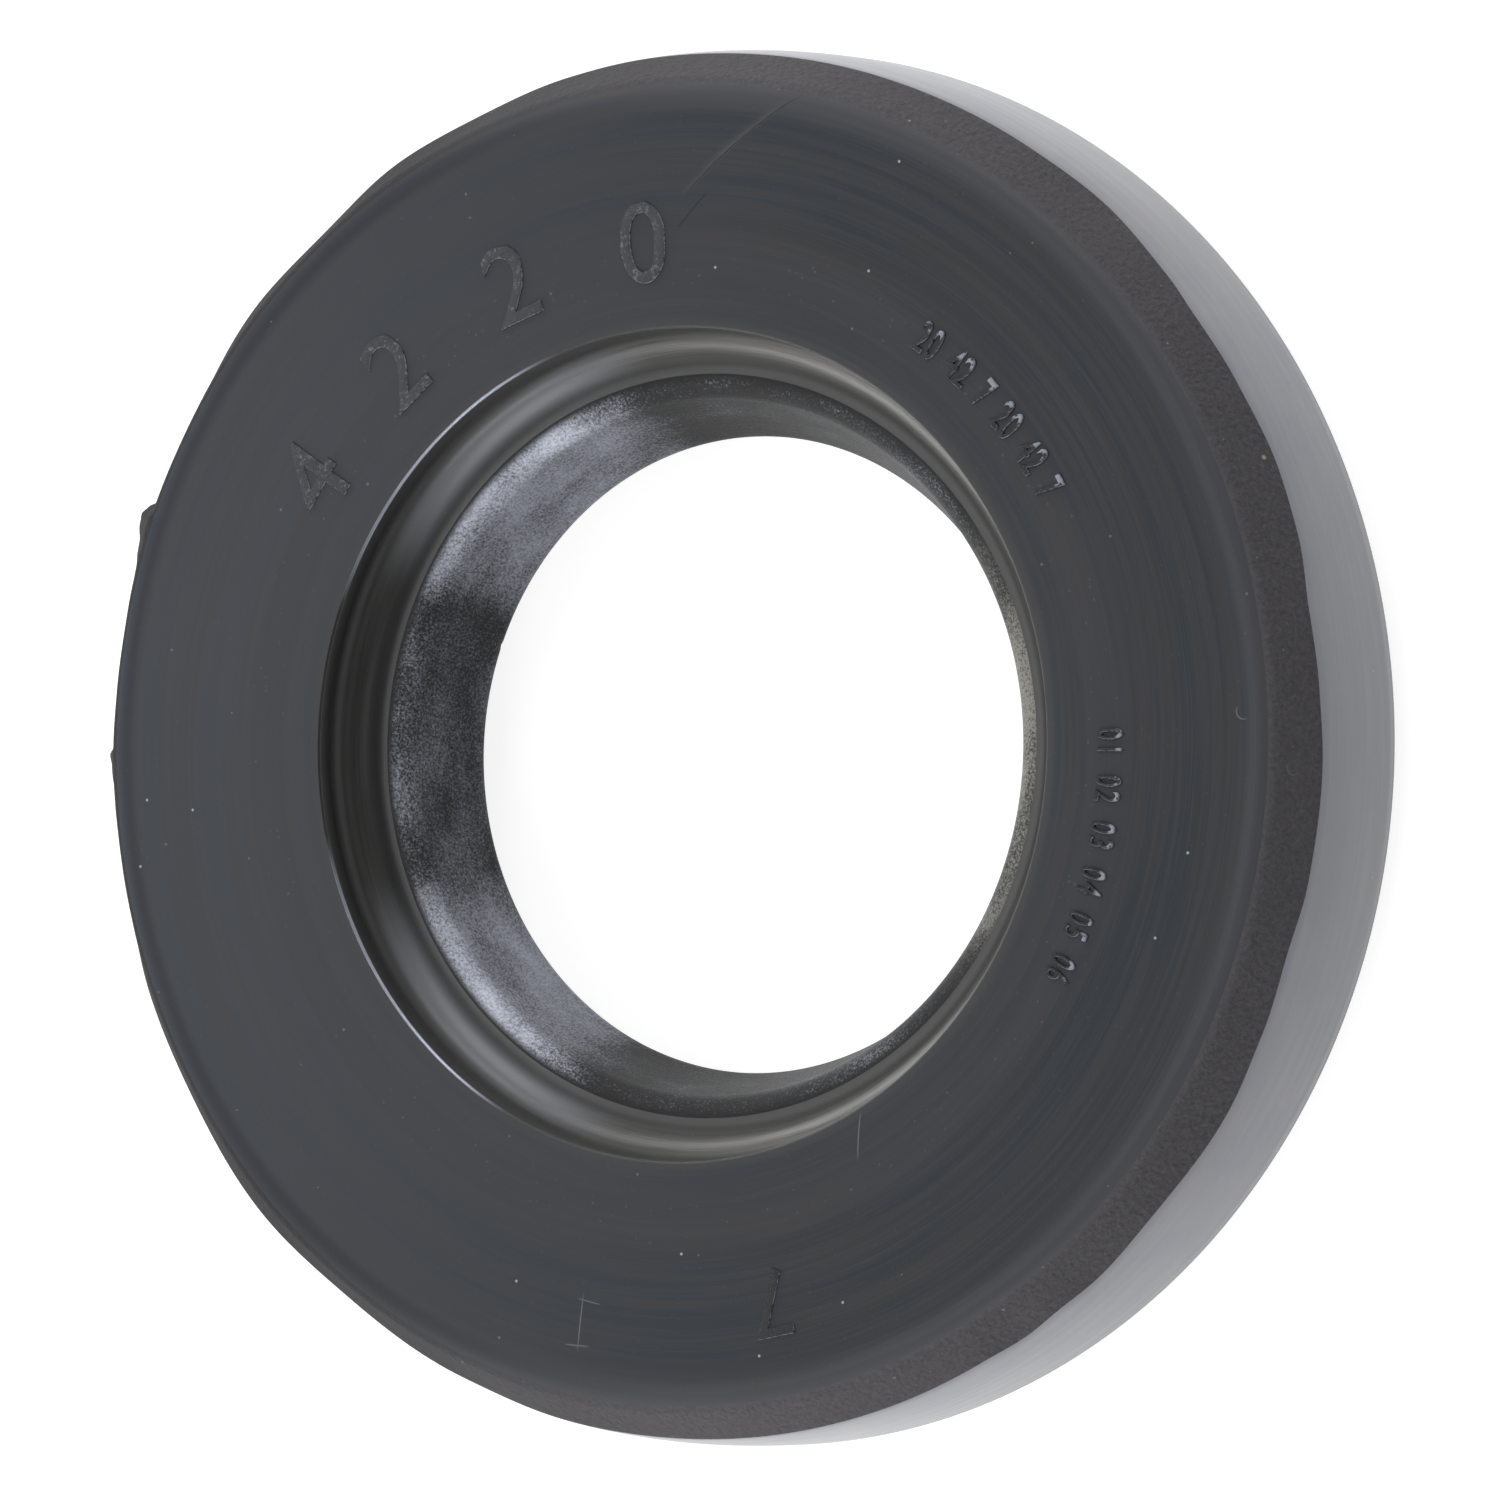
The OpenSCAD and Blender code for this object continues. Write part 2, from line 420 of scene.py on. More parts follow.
# The section in stretches of one finish each: (radius, height) points that go once
# round it, and how far each follows the knife cut
crease = (opening_r - throat_r, throat_z)
cone_angle = math.degrees(math.atan2(crease[0] - lip_r, crease[1] - lip_z))
throat = arc(
    (opening_r + opening_edge_r, front_z - opening_edge_r), opening_edge_r, 90, 180, 5
) + arc((crease[0], throat_z + throat_r), throat_r, 0, -90, 26)
shoulder_middle = (shoulder_start_r, throat_z - shoulder_r)
land_top = (lip_r, lip_z + lip_land_w / 2)
towards_land = math.atan2(land_top[1] - shoulder_middle[1], land_top[0] - shoulder_middle[0]) + math.tau
shoulder_end = math.degrees(towards_land - math.acos(shoulder_r / math.dist(shoulder_middle, land_top)))
shoulder = arc(shoulder_middle, shoulder_r, 90, shoulder_end, 14)
lip = shoulder[:-1] + joined(
    [
        shoulder[-1],
        land_top,
        (lip_r, lip_z - lip_land_w / 2),
        (nose_r - 0.12, nose_z + 0.12),
        (nose_r, nose_z + 0.02),
        (nose_r + 0.1, nose_z),
    ],
    0.16,
)
mouth_half_w = groove_r * math.sin(math.radians(mouth_half_angle))
bead_low_z = spring_z - mouth_half_w - bead_h / 2
bead_high_z = spring_z + mouth_half_w + bead_h / 2
web_low_z = spring_z + mouth_half_w + 2 * bead_h
web_slope = web_t / math.cos(math.radians(cone_angle))
fillet_run = web_fillet_r * math.tan(math.radians(90 - cone_angle) / 2)
fillet_middle = (cone_r(lap_z) + web_slope + fillet_run, lap_z - web_fillet_r)
back = joined([(nose_r + 0.1, nose_z), (bead_r - bead_h, nose_z)])
back += arc((bead_r - bead_h, nose_z + bead_h), bead_h, -90, 0, 6)
back += joined([(bead_r, nose_z + bead_h + 0.05), (bead_r, bead_low_z)], 0.2)
back += arc((spring_r, spring_z), groove_r, -mouth_half_angle, mouth_half_angle - 360, 32)
back += [(bead_r, bead_high_z), (bead_r, web_low_z - bead_h / 2)]
back += joined([(cone_r(web_low_z) + web_slope, web_low_z), (cone_r(lap_z - 0.4) + web_slope, lap_z - 0.4)])
back += arc(fillet_middle, web_fillet_r, 180 - cone_angle, 90, 8)
back += joined(
    [
        (fillet_middle[0] + 0.1, lap_z),
        (lap_r - 0.12, lap_z),
        (lap_r, lap_z + 0.12),
        (lap_r, sheet_low_z),
        (ring_hole_r / MM, sheet_low_z),
        (ring_hole_r / MM, ring_high.z / MM),
        (ring_high.x / MM - fold_outer_r, ring_high.z / MM),
    ],
    0.8,
)
fold_middle = (ring_high.x / MM - fold_outer_r, ring_high.z / MM - fold_outer_r)
back += arc(fold_middle, fold_outer_r, 90, 0, 6)[1:]
back += joined(
    [
        (ring_high.x / MM, ring_low.z / MM + 0.5),
        (ring_high.x / MM, ring_low.z / MM),
        (ring_inner_r, ring_low.z / MM),
        (ring_inner_r, 0.06),
        (ring_inner_r + 0.06, 0),
        (outer_r - back_chamfer_r - 0.06, 0),
        (outer_r - back_chamfer_r + 0.02, 0.05),
        (outer_r, back_chamfer_w),
    ],
    0.8,
)
edge_z = front_z - trimmed_depth
wall_steps = 12
wall = []
for i in range(wall_steps):
    share = i / wall_steps
    barrel = (outer_r - trimmed_r) * share ** 3
    wall.append((outer_r - barrel, back_chamfer_w + (edge_z - back_chamfer_w) * share))
round_run = corner_round_r * math.tan(corner_slope / 2)
round_middle = (trimmed_r - trimmed_depth / math.tan(corner_slope) - round_run, front_z - corner_round_r)
rounding = arc(round_middle, corner_round_r, 90 - math.degrees(corner_slope), 90, 12)
corner = joined([(trimmed_r, edge_z), rounding[0]], 0.2)
corner += [spot for spot in rounding if spot[0] > corner_inner_r]
face = [spot for spot in rounding if spot[0] <= corner_inner_r]
face += joined([(round_middle[0] - 0.1, front_z), (opening_r + opening_edge_r + 0.05, front_z)], 0.6)
stretches = [
    ("throat", throat), ("lip", lip), ("back", back), ("wall", wall), ("corner", corner), ("face", face)
]


def cut_back(name, spot, depth):
    """Height of a point of the section after a knife cut of this depth."""
    if name == "wall":
        share = max(0.0, (spot[1] - back_chamfer_w) / (edge_z - back_chamfer_w)) ** 2
        return spot[1] - (depth - trimmed_depth) * share
    if name in ("corner", "face"):
        return front_z - (front_z - spot[1]) * depth / trimmed_depth
    return spot[1]


def lean_share(spot):
    """Share of the lip's lean that a point takes on: all at the edge, none at the web's root."""
    low = min(1.0, max(0.0, (throat_z - spot[1]) / (throat_z - lip_z)))
    near = min(1.0, max(0.0, (lean_end_r - spot[0]) / lean_fade))
    return low * near


def tear_depth(name, spot, angle):
    """Depth of the tears at a point near the sealing edge."""
    if name != "lip" or abs(spot[1] - lip_z) > 0.3:
        return 0.0
    turn = (angle + 180) % 360 - 180
    return sum(deep * math.exp(-(((turn - at) / half) ** 2)) for at, half, deep in lip_tears)


def leant(r, z, angle):
    """A place from its radius, height and angle in degrees, with the lip's lean, in metres."""
    turn = math.radians(angle)
    lean = lip_lean * lean_share((r, z))
    return (r * math.cos(turn) * MM, (r * math.sin(turn) - lean) * MM, z * MM)


turn_steps = 432
flash_step = 0.25
angles = {round(360 * i / turn_steps, 3) for i in range(turn_steps)}
for start, end in flash_stretches:
    angles |= {start + flash_step * i for i in range(round((end - start) / flash_step))}
angles = sorted(angles)
section = [(name, spot) for name, points in stretches for spot in points]
body_points = []
for angle in angles:
    depth = cut_depth(angle)
    for name, spot in section:
        r = spot[0] + tear_depth(name, spot, angle)
        body_points.append(leant(r, cut_back(name, spot, depth), angle))
body_faces = []
round_count = len(section)
for i in range(len(angles)):
    this_row = i * round_count
    next_row = (i + 1) % len(angles) * round_count
    for j in range(round_count):
        k = (j + 1) % round_count
        body_faces.append((this_row + j, next_row + j, next_row + k, this_row + k))
body = new_piece("rubber_body", body_points, [], body_faces)


# Dust and pale grains that lie here and there: one in a share of the cells
grains, got, give = new_tree(
    "pale grains",
    "ShaderNodeTree",
    [("Place", "NodeSocketVector", None), ("Cell", "NodeSocketFloat", 1.0),
     ("Size", "NodeSocketFloat", 0.05), ("Share", "NodeSocketFloat", 0.3)],
    [("Mask", "NodeSocketFloat")],
)
fineness = math_node(grains, "DIVIDE", 1.0, got["Cell"])
cell_sockets = {"Vector": got["Place"], "Scale": fineness, "Randomness": 1.0}
cells = node(grains, "ShaderNodeTexVoronoi", cell_sockets).outputs
drawn_lot = node(grains, "ShaderNodeSeparateColor", {0: cells["Color"]}).outputs
chosen = math_node(grains, "LESS_THAN", drawn_lot[0], got["Share"])
reach = times(grains, cells["Distance"], got["Cell"])
grown = math_node(grains, "MULTIPLY_ADD", drawn_lot[1], 0.8, 0.4)
size = times(grains, grown, got["Size"])
inside = math_node(grains, "SUBTRACT", 1.0, math_node(grains, "DIVIDE", reach, size))
soft = math_node(grains, "MINIMUM", math_node(grains, "MAXIMUM", times(grains, inside, 2.0), 0.0), 1.0)
strength = times(grains, soft, drawn_lot[2])
grains.links.new(times(grains, strength, chosen), give["Mask"])


def dusted(tree, place, tone, cell, size, share, colour, strength=1.0):
    """A colour with grains on it, one in a share of the cells."""
    mask = placed(tree, grains, Place=place, Cell=cell, Size=size, Share=share)["Mask"]
    return blended(tree, times(tree, mask, strength), tone, colour)


def reach_between(tree, first, second):
    """Distance between two places."""
    sockets = {0: first, 1: second}
    return node(tree, "ShaderNodeVectorMath", sockets, operation="DISTANCE").outputs["Value"]


# A scratch: a stretch of a large circle, faded towards its ends
scratch, got, give = new_tree(
    "scratch",
    "ShaderNodeTree",
    [("Place", "NodeSocketVector", None), ("Circle Middle", "NodeSocketVector", None),
     ("Circle Radius", "NodeSocketFloat", 10.0), ("Middle", "NodeSocketVector", None),
     ("Half Length", "NodeSocketFloat", 2.0), ("Width", "NodeSocketFloat", 0.05)],
    [("Mask", "NodeSocketFloat"), ("Side", "NodeSocketFloat")],
)
to_circle = reach_between(scratch, got["Place"], got["Circle Middle"])
off = math_node(scratch, "SUBTRACT", to_circle, got["Circle Radius"])
to_middle = reach_between(scratch, got["Place"], got["Middle"])
spent = math_node(scratch, "DIVIDE", to_middle, got["Half Length"])
fade = math_node(scratch, "SUBTRACT", 1.0, math_node(scratch, "POWER", spent, 4.0))
fade = math_node(scratch, "MAXIMUM", fade, 0.0)
ratio = math_node(scratch, "DIVIDE", off, got["Width"])
bell = math_node(scratch, "EXPONENT", times(scratch, times(scratch, ratio, ratio), -1.0))
scratch.links.new(times(scratch, bell, fade), give["Mask"])
beside = math_node(scratch, "EXPONENT", times(scratch, math_node(scratch, "ABSOLUTE", ratio), -0.35))
outer = math_node(scratch, "GREATER_THAN", ratio, 0.0)
scratch.links.new(times(scratch, times(scratch, beside, outer), fade), give["Side"])


def on_face(angle, r, z=None):
    """A place on the front face from its angle in degrees and its radius, in millimetres."""
    turn = math.radians(angle)
    return Vector((r * math.cos(turn), r * math.sin(turn), front_z if z is None else z))


def scratch_between(tree, place, start, end, bow, width):
    """A scratch between two places. Bow is the radius of its curve."""
    middle = (start + end) / 2
    run = end - start
    side = Vector((-run.y, run.x, 0)).normalized()
    height = math.sqrt(bow ** 2 - (run.length / 2) ** 2)
    return placed(
        tree, scratch,
        Place=place,
        Circle_Middle=middle + side * height,
        Circle_Radius=bow,
        Middle=middle,
        Half_Length=run.length / 2 + min(0.2, bow / 5),
        Width=width,
    )


def speck_at(tree, place, spot, size):
    """A single grain at a known place."""
    return ranged(tree, reach_between(tree, place, spot), size * 0.5, size, 1.0, 0.0)


def together(tree, masks):
    """The strongest of several masks."""
    strongest = masks[0]
    for mask in masks[1:]:
        strongest = math_node(tree, "MAXIMUM", strongest, mask)
    return strongest


# Satin front face: a matt ring inside, brown and blue-grey rings, turned marks, scratches, painted light
# towards -X and a worn outer rim that fades to painted shade towards -X
face_specks = [(87.8, 14.33), (68, 15.46), (69.3, 18.83), (-8.2, 17.54), (-17.1, 17.17), (-68.3, 17.6)]
face_specks += [(-78.3, 18.5), (-86.5, 15.26), (-106.1, 17.04), (187.5, 18.7), (189, 17.1), (193.5, 19.2)]
face_finish, tree, shader, place = new_finish("satin_face_rubber")
slow = turned_marks(tree, place, 1.4, 1.1)
fine = turned_marks(tree, place, 2.5, 16.0)
bloom = noise(tree, slow["Wound"], 1.0, 3.0)
marks = noise(tree, fine["Wound"], 1.0, 3.0, 0.7)
mottle = noise(tree, place, 0.9, 4.0, 0.6)
bloomed = ranged(tree, bloom, 0.38, 0.62)
rubber_tone = blended(tree, bloomed, (0.0175, 0.0185, 0.0215, 1), (0.0095, 0.0165, 0.0250, 1))
towards_right = to_the_right(tree, fine["Facing"])
# Paler and bluer towards -X and further out from the axis: painted light, standing in for light falling on
# that side of the face
painted_left_light = ranged(tree, towards_right, 0.3, -1.0, 0.0, 0.5, smooth=False)
painted_left_light = times(tree, painted_left_light, ranged(tree, fine["Radius"], 13.0, 16.0, 0.6, 1.0))
rubber_tone = blended(tree, painted_left_light, rubber_tone, (0.054, 0.061, 0.074, 1))
turned_streaks = times(tree, ranged(tree, marks, 0.45, 0.75), 0.6)
rubber_tone = blended(tree, turned_streaks, rubber_tone, (0.031, 0.035, 0.042, 1))
brown_rings = noise(tree, turned_marks(tree, place, 1.3, 4.0)["Wound"], 1.0, 3.0)
brown_rings = ranged(tree, brown_rings, 0.45, 0.62, 0.0, 0.38)
rubber_tone = blended(tree, brown_rings, rubber_tone, (0.034, 0.031, 0.034, 1))
matt_in = ranged(tree, fine["Radius"], 13.55, 14.05)
matt_ring = times(tree, matt_in, ranged(tree, fine["Radius"], 14.7, 15.2, 1.0, 0.0))
inner_zone = ranged(tree, fine["Radius"], 14.6, 15.6, 0.16, 0.0)
matt_zone = math_node(tree, "MULTIPLY_ADD", matt_ring, 0.34, inner_zone)
rubber_tone = blended(tree, matt_zone, rubber_tone, (0.056, 0.055, 0.060, 1))
rim_wear = ranged(tree, fine["Radius"], 12.95, 12.6)
rubber_tone = blended(tree, times(tree, rim_wear, 0.4), rubber_tone, (0.050, 0.049, 0.051, 1))
# A pale worn band near the outer rim, faint towards -X: the band is wear, its fading towards -X is painted
# shade
wear_and_shade_side = ranged(tree, towards_right, -0.7, 0.1, 0.15, 1.0)
outer_wear = times(tree, ranged(tree, fine["Radius"], 18.8, 19.75, 0.0, 0.5), wear_and_shade_side)
rubber_tone = blended(tree, outer_wear, rubber_tone, (0.092, 0.090, 0.098, 1))
long_scratch = scratch_between(tree, place, on_face(80.9, 19.72), on_face(92.1, 16.48), 16, 0.028)
second_scratch = scratch_between(tree, place, on_face(89.8, 16.42), on_face(92.6, 15.58), 20, 0.03)
tick = scratch_between(tree, place, on_face(-98.1, 16.97), on_face(-97.8, 18.33), 40, 0.018)
tick_foot = scratch_between(tree, place, on_face(-98.6, 18.38), on_face(-97.2, 18.33), 40, 0.018)
tick_head = scratch_between(tree, place, on_face(-98.1, 16.97), on_face(-96.6, 16.99), 40, 0.015)
wavy_scratch = scratch_between(tree, place, on_face(-57.9, 12.81), on_face(-60.4, 13.75), 9, 0.018)
lint = scratch_between(tree, place, on_face(5.5, 18.85), on_face(4.5, 19.1), 0.24, 0.02)
pale_lines = together(tree, [mask["Mask"] for mask in (tick, tick_foot, tick_head, wavy_scratch, lint)])
dark_lines = math_node(tree, "MAXIMUM", long_scratch["Mask"], times(tree, second_scratch["Mask"], 0.6))
torn = times(tree, long_scratch["Side"], ranged(tree, mottle, 0.3, 0.6, 0.4, 0.9))
rubber_tone = blended(tree, torn, rubber_tone, (0.105, 0.105, 0.108, 1))
rubber_tone = blended(tree, times(tree, dark_lines, 0.8), rubber_tone, (0.004, 0.004, 0.0045, 1))
rubber_tone = blended(tree, times(tree, pale_lines, 0.75), rubber_tone, (0.17, 0.17, 0.175, 1))
gritty = ranged(tree, matt_ring, 0.0, 1.0, 0.12, 0.5)
rubber_tone = dusted(tree, place, rubber_tone, 0.22, 0.05, 0.35, (0.11, 0.11, 0.11, 1), gritty)
rubber_tone = dusted(tree, place, rubber_tone, 0.75, 0.055, 0.3, (0.28, 0.29, 0.28, 1))
specks = together(tree, [speck_at(tree, place, on_face(*spot), 0.055) for spot in face_specks])
rubber_tone = blended(tree, specks, rubber_tone, (0.34, 0.36, 0.36, 1))
height = math_node(tree, "MULTIPLY_ADD", marks, 0.6, times(tree, mottle, 0.4))
height = math_node(tree, "SUBTRACT", height, times(tree, dark_lines, 2.5))
left_share = ranged(tree, towards_right, 0.1, -0.7, 0.0, 0.35)
dull_rim = times(tree, ranged(tree, fine["Radius"], 19.0, 19.4), left_share)
connect(
    tree, shader,
    Base_Color=rubber_tone,
    Roughness=math_node(tree, "ADD", dull_rim, ranged(tree, matt_ring, 0.0, 1.0, 0.5, 0.66)),
    Normal=relief(tree, height, 0.006 * MM),
)
set_gloss(shader, 0.34)

# Fine leathery grain moulded into the front corner, with painted shade towards -X
corner_finish, tree, shader, place = new_finish("wrinkled_corner_rubber")
crossing = turned_marks(tree, place, 1.0, 1.0)
creases = noise(tree, place, 7.0, 3.0, 0.7)
pit_sockets = {"Vector": place, "Scale": 5.0, "Randomness": 1.0}
pits = node(tree, "ShaderNodeTexVoronoi", pit_sockets, feature="SMOOTH_F1").outputs["Distance"]
corner_tone = blended(tree, creases, (0.010, 0.0092, 0.0105, 1), (0.138, 0.130, 0.139, 1))
near_face = ranged(tree, crossing["Radius"], 19.6, 20.1, 0.9, 0.0)
corner_tone = blended(tree, near_face, corner_tone, (0.086, 0.083, 0.090, 1))
towards_right = to_the_right(tree, crossing["Facing"])
left_share = ranged(tree, towards_right, 0.1, -0.7)
# Darker towards -X: painted shade on that side of the corner; the same share also roughens it
corner_tone = blended(tree, times(tree, left_share, 0.85), corner_tone, (0.024, 0.023, 0.025, 1))
corner_tone = dusted(tree, place, corner_tone, 0.45, 0.05, 0.35, (0.3, 0.3, 0.29, 1))
lint = scratch_between(tree, place, on_face(0.7, 20.2, 6.28), on_face(-0.3, 20.4, 6.28), 0.24, 0.02)
corner_tone = blended(tree, times(tree, lint["Mask"], 0.7), corner_tone, (0.17, 0.17, 0.17, 1))
sand = speck_at(tree, place, on_face(26.5, 20.72, 5.5), 0.12)
corner_tone = blended(tree, sand, corner_tone, (0.52, 0.33, 0.26, 1))
height = math_node(tree, "MULTIPLY_ADD", pits, 0.7, creases)
height = times(tree, height, ranged(tree, crossing["Radius"], 19.7, 20.1, 0.1, 1.0))
connect(
    tree, shader,
    Base_Color=corner_tone,
    Roughness=math_node(tree, "MULTIPLY_ADD", left_share, 0.2, ranged(tree, creases, 0.3, 0.7, 0.6, 0.72)),
    Normal=relief(tree, height, 0.06 * MM),
)
set_gloss(shader, 0.25)

# Smooth outer wall, rubbed grey, with faint marks round it and painted shade where it faces +X
wall_finish, tree, shader, place = new_finish("smooth_wall_rubber")
wiped = turned_marks(tree, place, 3.0, 0.0, 5.0)
wipes = noise(tree, wiped["Wound"], 1.0, 3.0)
cloud = noise(tree, place, 0.45, 4.0, 0.6)
clouded = ranged(tree, cloud, 0.35, 0.65)
wall_tone = blended(tree, clouded, (0.084, 0.094, 0.134, 1), (0.116, 0.116, 0.136, 1))
wiped_share = ranged(tree, wipes, 0.5, 0.8, 0.0, 0.3)
wall_tone = blended(tree, wiped_share, wall_tone, (0.185, 0.185, 0.19, 1))
# Darker where the wall faces +X: painted shade
plus_x_shade = ranged(tree, along_angle(tree, wiped["Facing"], 0), 0.86, 1.0, 0.0, 0.55)
wall_tone = blended(tree, plus_x_shade, wall_tone, (0.066, 0.071, 0.090, 1))
wall_tone = dusted(tree, place, wall_tone, 1.3, 0.05, 0.25, (0.4, 0.41, 0.42, 1), 0.6)
connect(
    tree, shader,
    Base_Color=wall_tone,
    Roughness=ranged(tree, wipes, 0.3, 0.7, 0.4, 0.5),
    Normal=relief(tree, math_node(tree, "MULTIPLY_ADD", wipes, 0.5, cloud), 0.008 * MM),
)
set_gloss(shader, 1.0, 0.8, 0.25)

# Glossy throat with fine turned marks, painted highlights round 130 and 231 degrees and on the opening's
# edge, and a painted reflection towards +X
throat_finish, tree, shader, place = new_finish("polished_throat_rubber")
lathe = turned_marks(tree, place, 3.5, 22.0, 12.0)
streaks = noise(tree, lathe["Wound"], 1.0, 3.0, 0.65)
throat_tone = blended(tree, streaks, (0.0080, 0.0080, 0.0078, 1), (0.0165, 0.0162, 0.0150, 1))
towards_right = to_the_right(tree, lathe["Facing"])
# Pale cream on the lower throat, growing towards +X and broken by the streaks: painted reflection of the
# bright surroundings
film_and_sheen = ranged(tree, towards_right, -1.2, 0.9, smooth=False)
film_and_sheen = times(tree, film_and_sheen, ranged(tree, lathe["Height"], 5.14, 5.4))
film_and_sheen = times(tree, film_and_sheen, ranged(tree, lathe["Height"], 5.5, 6.0, 1.0, 0.2))
film_and_sheen = times(tree, film_and_sheen, ranged(tree, streaks, 0.3, 0.7, 0.5, 1.0))
throat_tone = blended(tree, film_and_sheen, throat_tone, (0.25, 0.245, 0.23, 1))
# Pale bluish patches on the lower throat round 130 and 231 degrees: painted highlights
throat_highlights = math_node(
    tree, "MAXIMUM",
    ranged(tree, along_angle(tree, lathe["Facing"], 130), 0.87, 1.0),
    ranged(tree, along_angle(tree, lathe["Facing"], 231), 0.87, 1.0),
)
throat_highlights = times(tree, throat_highlights, ranged(tree, lathe["Height"], 5.12, 5.3, 0.0, 0.75))
throat_highlights = times(tree, throat_highlights, ranged(tree, lathe["Height"], 5.5, 6.0, 1.0, 0.0))
throat_tone = blended(tree, throat_highlights, throat_tone, (0.22, 0.225, 0.25, 1))
throat_tone = dusted(tree, place, throat_tone, 0.8, 0.04, 0.25, (0.35, 0.36, 0.36, 1))
# A bright bluish metallic line on the opening's edge round 138 and 220 degrees: painted highlight
edge_sheen = math_node(
    tree, "MAXIMUM",
    ranged(tree, along_angle(tree, lathe["Facing"], 138), 0.9, 0.98),
    ranged(tree, along_angle(tree, lathe["Facing"], 220), 0.9, 0.98),
)
edge_sheen = times(tree, edge_sheen, ranged(tree, lathe["Height"], 6.9, 6.95))
connect(
    tree, shader,
    Base_Color=blended(tree, edge_sheen, throat_tone, (0.30, 0.32, 0.38, 1)),
    Metallic=edge_sheen,
    Roughness=ranged(tree, streaks, 0.3, 0.7, 0.34, 0.42),
    Normal=relief(tree, streaks, 0.003 * MM),
)
set_gloss(shader, 0.3, 0.4, 0.28)

# Sealing lip: a thin graphite coat, rubbed through in specks and thickest in two smears that also paint
# highlights, with a painted sheen on the ridge and a painted reflection towards +X
lip_finish, tree, shader, place = new_finish("graphite_coated_lip")
speckle = noise(tree, place, 13.0, 5.0, 0.75)
ringed = turned_marks(tree, place, 3.0, 3.0, 4.0)
rings = noise(tree, ringed["Wound"], 1.0, 3.0)
smear = noise(tree, turned_marks(tree, place, 8.0, 1.2, 1.2)["Wound"], 0.5, 4.0, 0.55)
worn = math_node(tree, "MULTIPLY_ADD", smear, 0.3, times(tree, speckle, 0.7))
# The coat is real, but it is made thickest round 134, 180 and 226 degrees so that its bright metal paints
# highlights there
smears_and_sheen = 0.0
for angle, reach in ((134, 0.84), (226, 0.88)):
    near = ranged(tree, along_angle(tree, ringed["Facing"], angle), reach, 1.0)
    smears_and_sheen = math_node(tree, "MAXIMUM", near, smears_and_sheen)
smear_and_sheen_between = ranged(tree, along_angle(tree, ringed["Facing"], 180), 0.7, 0.95, 0.0, 0.4)
smears_and_sheen = math_node(tree, "MAXIMUM", smears_and_sheen, smear_and_sheen_between)
coat = math_node(tree, "MULTIPLY_ADD", smears_and_sheen, 0.21, worn)
coat = ranged(tree, coat, 0.5, 0.86)
coat = times(tree, coat, ranged(tree, ringed["Height"], 4.5, 4.85, 0.62, 1.0))
coat = times(tree, coat, ranged(tree, ringed["Radius"], 10.9, 11.2, 1.0, 0.0))
# Lighter between heights 4.3 and 4.85 mm on the lip's cone: painted sheen
ridge_sheen = ranged(tree, ringed["Height"], 4.3, 4.85)
lip_tone = blended(tree, ridge_sheen, (0.0088, 0.0088, 0.0091, 1), (0.026, 0.026, 0.027, 1))
lip_tone = blended(tree, coat, lip_tone, (0.64, 0.67, 0.77, 1))
towards_right = to_the_right(tree, ringed["Facing"])
bare_rubber = ranged(tree, worn, 0.42, 0.58, 0.05, 1.0)
# Pale cream on the side towards +X, broken where the coat wears through: painted reflection at this grazing
# slope
painted_side_reflection = times(tree, ranged(tree, towards_right, 0.75, 1.0), bare_rubber)
lip_tone = blended(tree, painted_side_reflection, lip_tone, (0.30, 0.29, 0.26, 1))
lip_tone = dusted(tree, place, lip_tone, 0.7, 0.05, 0.3, (0.4, 0.4, 0.4, 1))
lip_grain = speck_at(tree, place, on_face(186, 10.05, 2.8), 0.13)
cone_grain = speck_at(tree, place, on_face(83.5, 10.2, 3.1), 0.15)
large_grains = together(tree, [lip_grain, cone_grain])
lip_tone = blended(tree, large_grains, lip_tone, (0.75, 0.74, 0.7, 1))
connect(
    tree, shader,
    Base_Color=lip_tone,
    Metallic=times(tree, coat, 0.85),
    Roughness=ranged(tree, speckle, 0.35, 0.65, 0.38, 0.52),
    Normal=relief(tree, math_node(tree, "MULTIPLY_ADD", speckle, 0.6, times(tree, rings, 0.4)), 0.035 * MM),
)
set_gloss(shader, 0.22)

# Plain moulded rubber in the back hollow and on the rim
back_finish, tree, shader, place = new_finish("plain_back_rubber")
moulded = turned_marks(tree, place, 3.0, 7.0, 5.0)
tool_marks = noise(tree, moulded["Wound"], 1.0, 3.0, 0.6)
cloud = noise(tree, place, 0.7, 4.0, 0.6)
back_tone = blended(tree, cloud, (0.014, 0.014, 0.015, 1), (0.03, 0.0295, 0.03, 1))
back_tone = dusted(tree, place, back_tone, 0.9, 0.05, 0.25, (0.3, 0.3, 0.29, 1), 0.7)
height = math_node(tree, "MULTIPLY_ADD", tool_marks, 0.6, times(tree, cloud, 0.8))
connect(
    tree, shader,
    Base_Color=back_tone,
    Roughness=ranged(tree, tool_marks, 0.3, 0.7, 0.42, 0.58),
    Normal=relief(tree, height, 0.012 * MM),
)

finishes = {
    "throat": throat_finish, "lip": lip_finish, "back": back_finish,
    "wall": wall_finish, "corner": corner_finish, "face": face_finish,
}
for finish in finishes.values():
    body.data.materials.append(finish)
slots = [list(finishes).index(name) for name, spot in section]
body.data.polygons.foreach_set("material_index", slots * len(angles))
body.data.polygons.foreach_set("use_smooth", [True] * len(body.data.polygons))
body.data.set_sharp_from_angle(angle=math.radians(38))
body.data.update()
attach(body, "root")
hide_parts("seal_body")


# Raised figures
# Raised in the rubber by figures cut into the mould and since rubbed down: the housing
# and shaft sizes, the width and two rows of small plain numbers.

